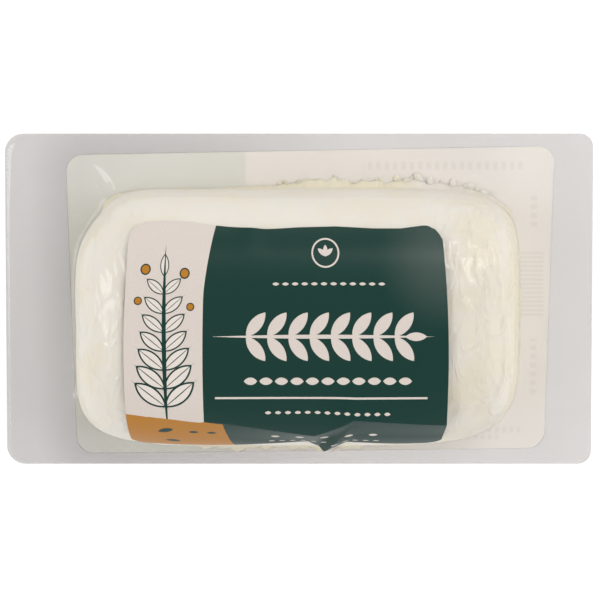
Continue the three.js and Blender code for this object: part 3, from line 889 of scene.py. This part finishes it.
# A stretch of the far edge has come unstuck and curls up a little.
CURL_MIDDLE = -6.6 * MM
CURL_REACH = 2.6 * MM
CURL_HEIGHT = 0.45 * MM
CURL_FADE = 12
curl = np.exp(-(((flat[:, 0] - CURL_MIDDLE) / CURL_REACH) ** 2))
lift += CURL_HEIGHT * curl * np.clip(from_middle, 0, 1) ** CURL_FADE
move_points(label, points_of(label) + points_of(label, "normal") * lift[:, None])
LABEL_PAPER = 0.2 * MM
finish_with(label, "SOLIDIFY", thickness=LABEL_PAPER, offset=1, material_offset_rim=1)
pick(label)
bpy.ops.object.shade_smooth_by_angle(angle=math.radians(15))


def leaf_field(add, place, slimness, leaves):
    """How far a place lies outside the nearest of some pointed leaves, in half lengths of a leaf.

    Each leaf has its middle, its turn in degrees and its half length. No slimness makes discs.
    """
    nearest = 1000.0
    for x, y, turn, half_length in leaves:
        on_leaf = add(
            "Mapping",
            {
                "Vector": place,
                "Location": (x, y, 0),
                "Rotation": (0, 0, math.radians(turn)),
                "Scale": (half_length, half_length, 1),
            },
            vector_type="TEXTURE",
        )[0]
        on_leaf = add("VectorMath", {0: on_leaf}, operation="ABSOLUTE")[0]
        gap = add("VectorMath", {0: on_leaf, 1: (0, -slimness, 0)}, operation="DISTANCE")["Value"]
        nearest = add("Math", {0: nearest, 1: gap}, operation="MINIMUM")[0]
    return add("Math", {0: nearest, 1: math.hypot(1, slimness)}, operation="SUBTRACT")[0]


def leaf_pairs(start, step, turn, spread, count, sizes):
    """Pairs of leaves along a stem that starts at a place and runs at a turn in degrees."""
    leaves = []
    for half_length, along in zip(np.linspace(sizes[0], sizes[1], count), range(count)):
        root_x = start[0] + step * along * math.cos(math.radians(turn))
        root_y = start[1] + step * along * math.sin(math.radians(turn))
        for side in (-1, 1):
            leaf_turn = math.radians(turn + side * spread)
            x = root_x + half_length * math.cos(leaf_turn)
            y = root_y + half_length * math.sin(leaf_turn)
            leaves.append((x, y, math.degrees(leaf_turn), half_length))
    return leaves


# Satin coated paper: the print is crisp, dark inks stay deep, and the bends catch a soft sheen.
# The print is laid out in millimetres from the label's middle and from the crown line.
PRINT_BEIGE = colour("#c5bbb3")
PRINT_PALE = colour("#cfc7bf")
PRINT_ORANGE = colour("#a56f25")
add = start_material("coated_label_paper", label)
unit = add("UVMap", uv_map=label.data.uv_layers[0].name)[0]
place = add(
    "Mapping",
    {
        "Vector": unit,
        "Location": (-LABEL_LENGTH / 2 / MM, -LABEL_NEAR / MM, 0),
        "Scale": (LABEL_LENGTH / MM, LABEL_WIDTH / MM, 1),
    },
)[0]
split = add("SeparateXYZ", {0: place})
u, v = split["X"], split["Y"]
layers = []

# The green field ends in an edge that leans towards the far side.
FIELD_U = -14.6
FIELD_LEAN = 1.75
LEAN_POWER = 1.5
lean = add("MapRange", {"Value": v, "From Min": 4.8, "From Max": LABEL_FAR / MM})[0]
lean = add("Math", {0: lean, 1: LEAN_POWER}, operation="POWER")[0]
panel_edge = add("Math", {0: lean, 1: FIELD_LEAN, 2: FIELD_U}, operation="MULTIPLY_ADD")[0]
green_field = add("Math", {0: u, 1: panel_edge}, operation="GREATER_THAN")[0]
layers.append((green_field, PRINT_GREEN))

# A sprig of herbs with berries fills the beige panel.
SPRIG_TURN = 91
SPRIG_STEM = (-21.3, -3.4, SPRIG_TURN, 13.0)
sprig = leaf_pairs((-21.2, -14.2), 3.3, SPRIG_TURN, 50, 7, (3.3, 1.9))
sprig.append((-21.6, 10.2, SPRIG_TURN, 1.7))
sprig_leaf = leaf_field(add, place, 1.0, sprig)
on_panel = add("Math", {0: 1, 1: green_field}, operation="SUBTRACT")[0]
filled = add("Math", {0: sprig_leaf, 1: 0}, operation="LESS_THAN")[0]
layers.append((add("Math", {0: filled, 1: on_panel}, operation="MULTIPLY")[0], PRINT_PALE))
LEAF_LINE = 0.05  # half widths of inked lines, in half lengths of a leaf
STEM_LINE = 0.012
leaf_edges = add("Math", {0: sprig_leaf, 1: 0, 2: LEAF_LINE}, operation="COMPARE")[0]
stems = leaf_field(add, place, 30, sprig + [SPRIG_STEM])
stems = add("Math", {0: stems, 1: STEM_LINE}, operation="LESS_THAN")[0]
inked = add("Math", {0: leaf_edges, 1: stems}, operation="MAXIMUM")[0]
layers.append((inked, PRINT_GREEN))
BERRIES = ((-24.9, 9.6, 0, 0.75), (-18.0, 9.0, 0, 0.75), (-26.0, 4.4, 0, 0.6), (-16.8, 3.4, 0, 0.6))
berry = leaf_field(add, place, 0, BERRIES)
layers.append((add("Math", {0: berry, 1: 0.2}, operation="LESS_THAN")[0], PRINT_GREEN))
layers.append((add("Math", {0: berry, 1: -0.1}, operation="LESS_THAN")[0], PRINT_ORANGE))

# A garland across the green field, with an emblem of three leaves in a ring above it.
GARLAND_V = -1.8
garland = leaf_pairs((-7.0, GARLAND_V), 3.7, 0, 52, 8, (2.7, 2.7))
garland.append((22.6, GARLAND_V, 0, 1.9))
EMBLEM_U = 7.0
EMBLEM_V = 12.2
LEAF_OUT = 0.75  # from the emblem's foot to the middle of each leaf
RING_V = 12.6
RING_RADIUS = 2.35
RING_LINE = 0.15  # half its width
emblem = [
    (EMBLEM_U + LEAF_OUT * math.cos(turn), EMBLEM_V + LEAF_OUT * math.sin(turn), math.degrees(turn), 1.0)
    for turn in (0.7, 1.57, 2.44)
]
beige_shapes = [
    (leaf_field(add, place, 1.05, garland + emblem), 0),
    (leaf_field(add, place, 36, [(6.4, GARLAND_V, 0, 14.8)]), 0.01),
]
ring = add("VectorMath", {0: place, 1: (EMBLEM_U, RING_V, 0)}, operation="DISTANCE")["Value"]
ring = add("Math", {0: ring, 1: RING_RADIUS}, operation="SUBTRACT")[0]
beige_shapes.append((add("Math", {0: ring}, operation="ABSOLUTE")[0], RING_LINE))
# Rows of small leaves, each with its height, start, pitch, count, slimness and half length.
ROWS = (
    (7.4, -2.7, 1.7, 12, 0.9, 0.6),
    (-9.6, -7.6, 2.7, 11, 0.6, 1.15),
    (-15.3, -4.1, 1.75, 13, 0.7, 0.55),
    (-21.6, -4.2, 4.4, 5, 0.5, 0.8),
    (-24.8, -3.6, 1.9, 11, 0.8, 0.6),
)
for row_v, start, pitch, count, slimness, half_length in ROWS:
    half_row = pitch * count / 2
    wrapped = add("Math", {0: u, 1: start + pitch, 2: start}, operation="WRAP")[0]
    on_row = add("CombineXYZ", {"X": wrapped, "Y": v})[0]
    leaf = leaf_field(add, on_row, slimness, [(start + pitch / 2, row_v, 0, half_length)])
    past_end = add("Math", {0: u, 1: start + half_row, 2: half_row}, operation="COMPARE")[0]
    past_end = add("Math", {0: 1, 1: past_end}, operation="SUBTRACT")[0]
    beige_shapes.append((add("Math", {0: leaf, 1: past_end}, operation="MAXIMUM")[0], 0.001))
for field, limit in beige_shapes:
    layers.append((add("Math", {0: field, 1: limit}, operation="LESS_THAN")[0], PRINT_BEIGE))
# A thin rule under the garland: its middle and half size each way.
rule = 1.0
for way, middle, half in ((v, -12.6, 0.18), (u, 6.1, 18.6)):
    within = add("Math", {0: way, 1: middle, 2: half}, operation="COMPARE")[0]
    rule = add("Math", {0: rule, 1: within}, operation="MULTIPLY")[0]
layers.append((rule, PRINT_BEIGE))

# The orange band over the near left corner, with slanting edges and small green leaves.
band = 1.0
for slope, limit in (((0.085, 1, 0), -18.46), ((1, 0.168, 0), -14.24)):
    this_way = add("VectorMath", {0: place, 1: slope}, operation="DOT_PRODUCT")["Value"]
    side = add("Math", {0: this_way, 1: limit}, operation="LESS_THAN")[0]
    band = add("Math", {0: band, 1: side}, operation="MULTIPLY")[0]
layers.append((band, PRINT_ORANGE))
BAND_LEAVES = (
    (-21.6, -19.9, 20, 1.5),
    (-16.6, -20.3, 0, 0.9),
    (-13.4, -20.5, 0, 0.9),
    (-20.6, -24.2, -10, 1.4),
)
band_leaf = leaf_field(add, place, 0.9, BAND_LEAVES)
layers.append((add("Math", {0: band_leaf, 1: 0}, operation="LESS_THAN")[0], PRINT_GREEN))

ink = PRINT_BEIGE
for mask, layer in layers:
    ink = add("Mix", {"Factor": mask, 6: ink, 7: layer}, data_type="RGBA")[2]
grain = add("TexNoise", {"Vector": place, "Scale": 3.0, "Detail": 2})["Fac"]
grain = add(
    "MapRange", {"Value": grain, "From Min": 0.3, "From Max": 0.7, "To Min": 0.97, "To Max": 1.03}
)[0]
ink = add("VectorMath", {0: ink, "Scale": grain}, operation="SCALE")[0]
# Painted sheen: the ink is lightened towards the far right corner, in place of a soft sheen of light on
# the coat there.
PAINTED_SHEEN = (0.034, 0.032, 0.03)
painted_sheen = add("VectorMath", {0: place, 1: (28.0, 11.0, 0)}, operation="DISTANCE")["Value"]
painted_sheen = add(
    "MapRange", {"Value": painted_sheen, "From Min": 13, "From Max": 2}, interpolation_type="SMOOTHSTEP"
)[0]
painted_sheen = add("VectorMath", {0: PAINTED_SHEEN, "Scale": painted_sheen}, operation="SCALE")[0]
ink = add("VectorMath", {0: ink, 1: painted_sheen}, operation="ADD")[0]
# The coat dulls at a glancing angle, so the flap below the crease stays dark.
turned = add("LayerWeight", {"Blend": 0.5})["Facing"]
sheen = add(
    "MapRange", {"Value": turned, "From Min": 0.3, "From Max": 0.7, "To Min": 0.34, "To Max": 0.12}
)[0]
label_shader = add(
    "BsdfPrincipled",
    {"Base Color": ink, "Roughness": 0.32, "IOR": 1.45, "Specular IOR Level": sheen},
)[0]
add("OutputMaterial", {"Surface": label_shader})

# Cut edge of the paper: matt and white.
add = start_material("cut_paper_edge", label)
edge_shader = add("BsdfPrincipled", {"Base Color": colour("#efebe4"), "Roughness": 0.8})[0]
add("OutputMaterial", {"Surface": edge_shader})
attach(label, "root")
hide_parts("front_label")

# Floor
# A white light table that the pack lies on, so nothing casts a shadow round it.
bpy.ops.mesh.primitive_plane_add(size=4, location=(0, 0, -0.02 * MM))
floor = bpy.context.object
floor.name = "floor"
add = start_material("light_table", floor)
floor_shader = add("Emission", {"Color": (1, 1, 1, 1), "Strength": 1.06})[0]
add("OutputMaterial", {"Surface": floor_shader})

# Light
# A pale tent that is dim overhead, with a large key box at the far right and another at the left.
# Four fills even out the shade, and gloss doesn't mirror them.
world = bpy.data.worlds.new("tent")
world.use_nodes = True
world.node_tree.nodes.clear()
bpy.context.scene.world = world
add = functools.partial(add_node, world.node_tree)
up = add("SeparateXYZ", {0: add("TexCoord")["Generated"]})["Z"]
glow = add(
    "MapRange", {"Value": up, "From Min": 0.15, "From Max": 0.75, "To Min": 0.95, "To Max": 0.12}
)[0]
sky = add("Background", {"Color": (1, 1, 1, 1), "Strength": glow})[0]
add("OutputWorld", {"Surface": sky})


def softbox(name, place, size, power, mirrored=True):
    """A square soft light at a place, turned to face the pack, which gloss may mirror or not."""
    lamp = bpy.data.lights.new(name, "AREA")
    lamp.size = size
    lamp.energy = power
    box = bpy.data.objects.new(name, lamp)
    box.location = place
    box.rotation_euler = (-box.location).to_track_quat("-Z", "Y").to_euler()
    box.visible_glossy = mirrored
    bpy.context.collection.objects.link(box)


softbox("key_box", (0.42, 0.42, 0.8), 0.6, 4.6)
softbox("left_box", (-0.78, 0.14, 0.6), 0.6, 3.6)
softbox("near_box", (0.2, -0.64, 0.74), 0.5, 1.9, mirrored=False)
softbox("far_box", (-0.15, 0.9, 0.3), 0.5, 1.2, mirrored=False)
softbox("left_fill", (-0.8, -0.5, 0.4), 0.4, 2.1, mirrored=False)
softbox("right_fill", (0.7, 0.0, 0.72), 0.4, 2.8, mirrored=False)

# Camera
# A long lens a metre away, tipped a little towards the label's top edge, as the photograph is seen.
VIEW_TIP = math.radians(8)
VIEW_DISTANCE = 1.0
PHOTO_PIXELS = 600
PIXEL = 0.18 * MM
AIM = (0.18 * MM, -0.09 * MM, RIM_TOP)
SENSOR = 36  # millimetres, as the lens is
camera_data = bpy.data.cameras.new("camera")
camera_data.sensor_width = SENSOR
camera_data.lens = SENSOR * VIEW_DISTANCE / (PHOTO_PIXELS * PIXEL)
camera = bpy.data.objects.new("camera", camera_data)
camera.location = (
    AIM[0],
    AIM[1] + VIEW_DISTANCE * math.sin(VIEW_TIP),
    AIM[2] + VIEW_DISTANCE * math.cos(VIEW_TIP),
)
camera.rotation_euler = (-VIEW_TIP, 0, 0)
bpy.context.collection.objects.link(camera)
bpy.context.scene.camera = camera
bpy.context.scene.view_settings.view_transform = "Standard"
# A ray along the upright sides of the film meets it many times.
bpy.context.scene.cycles.transparent_max_bounces = 32
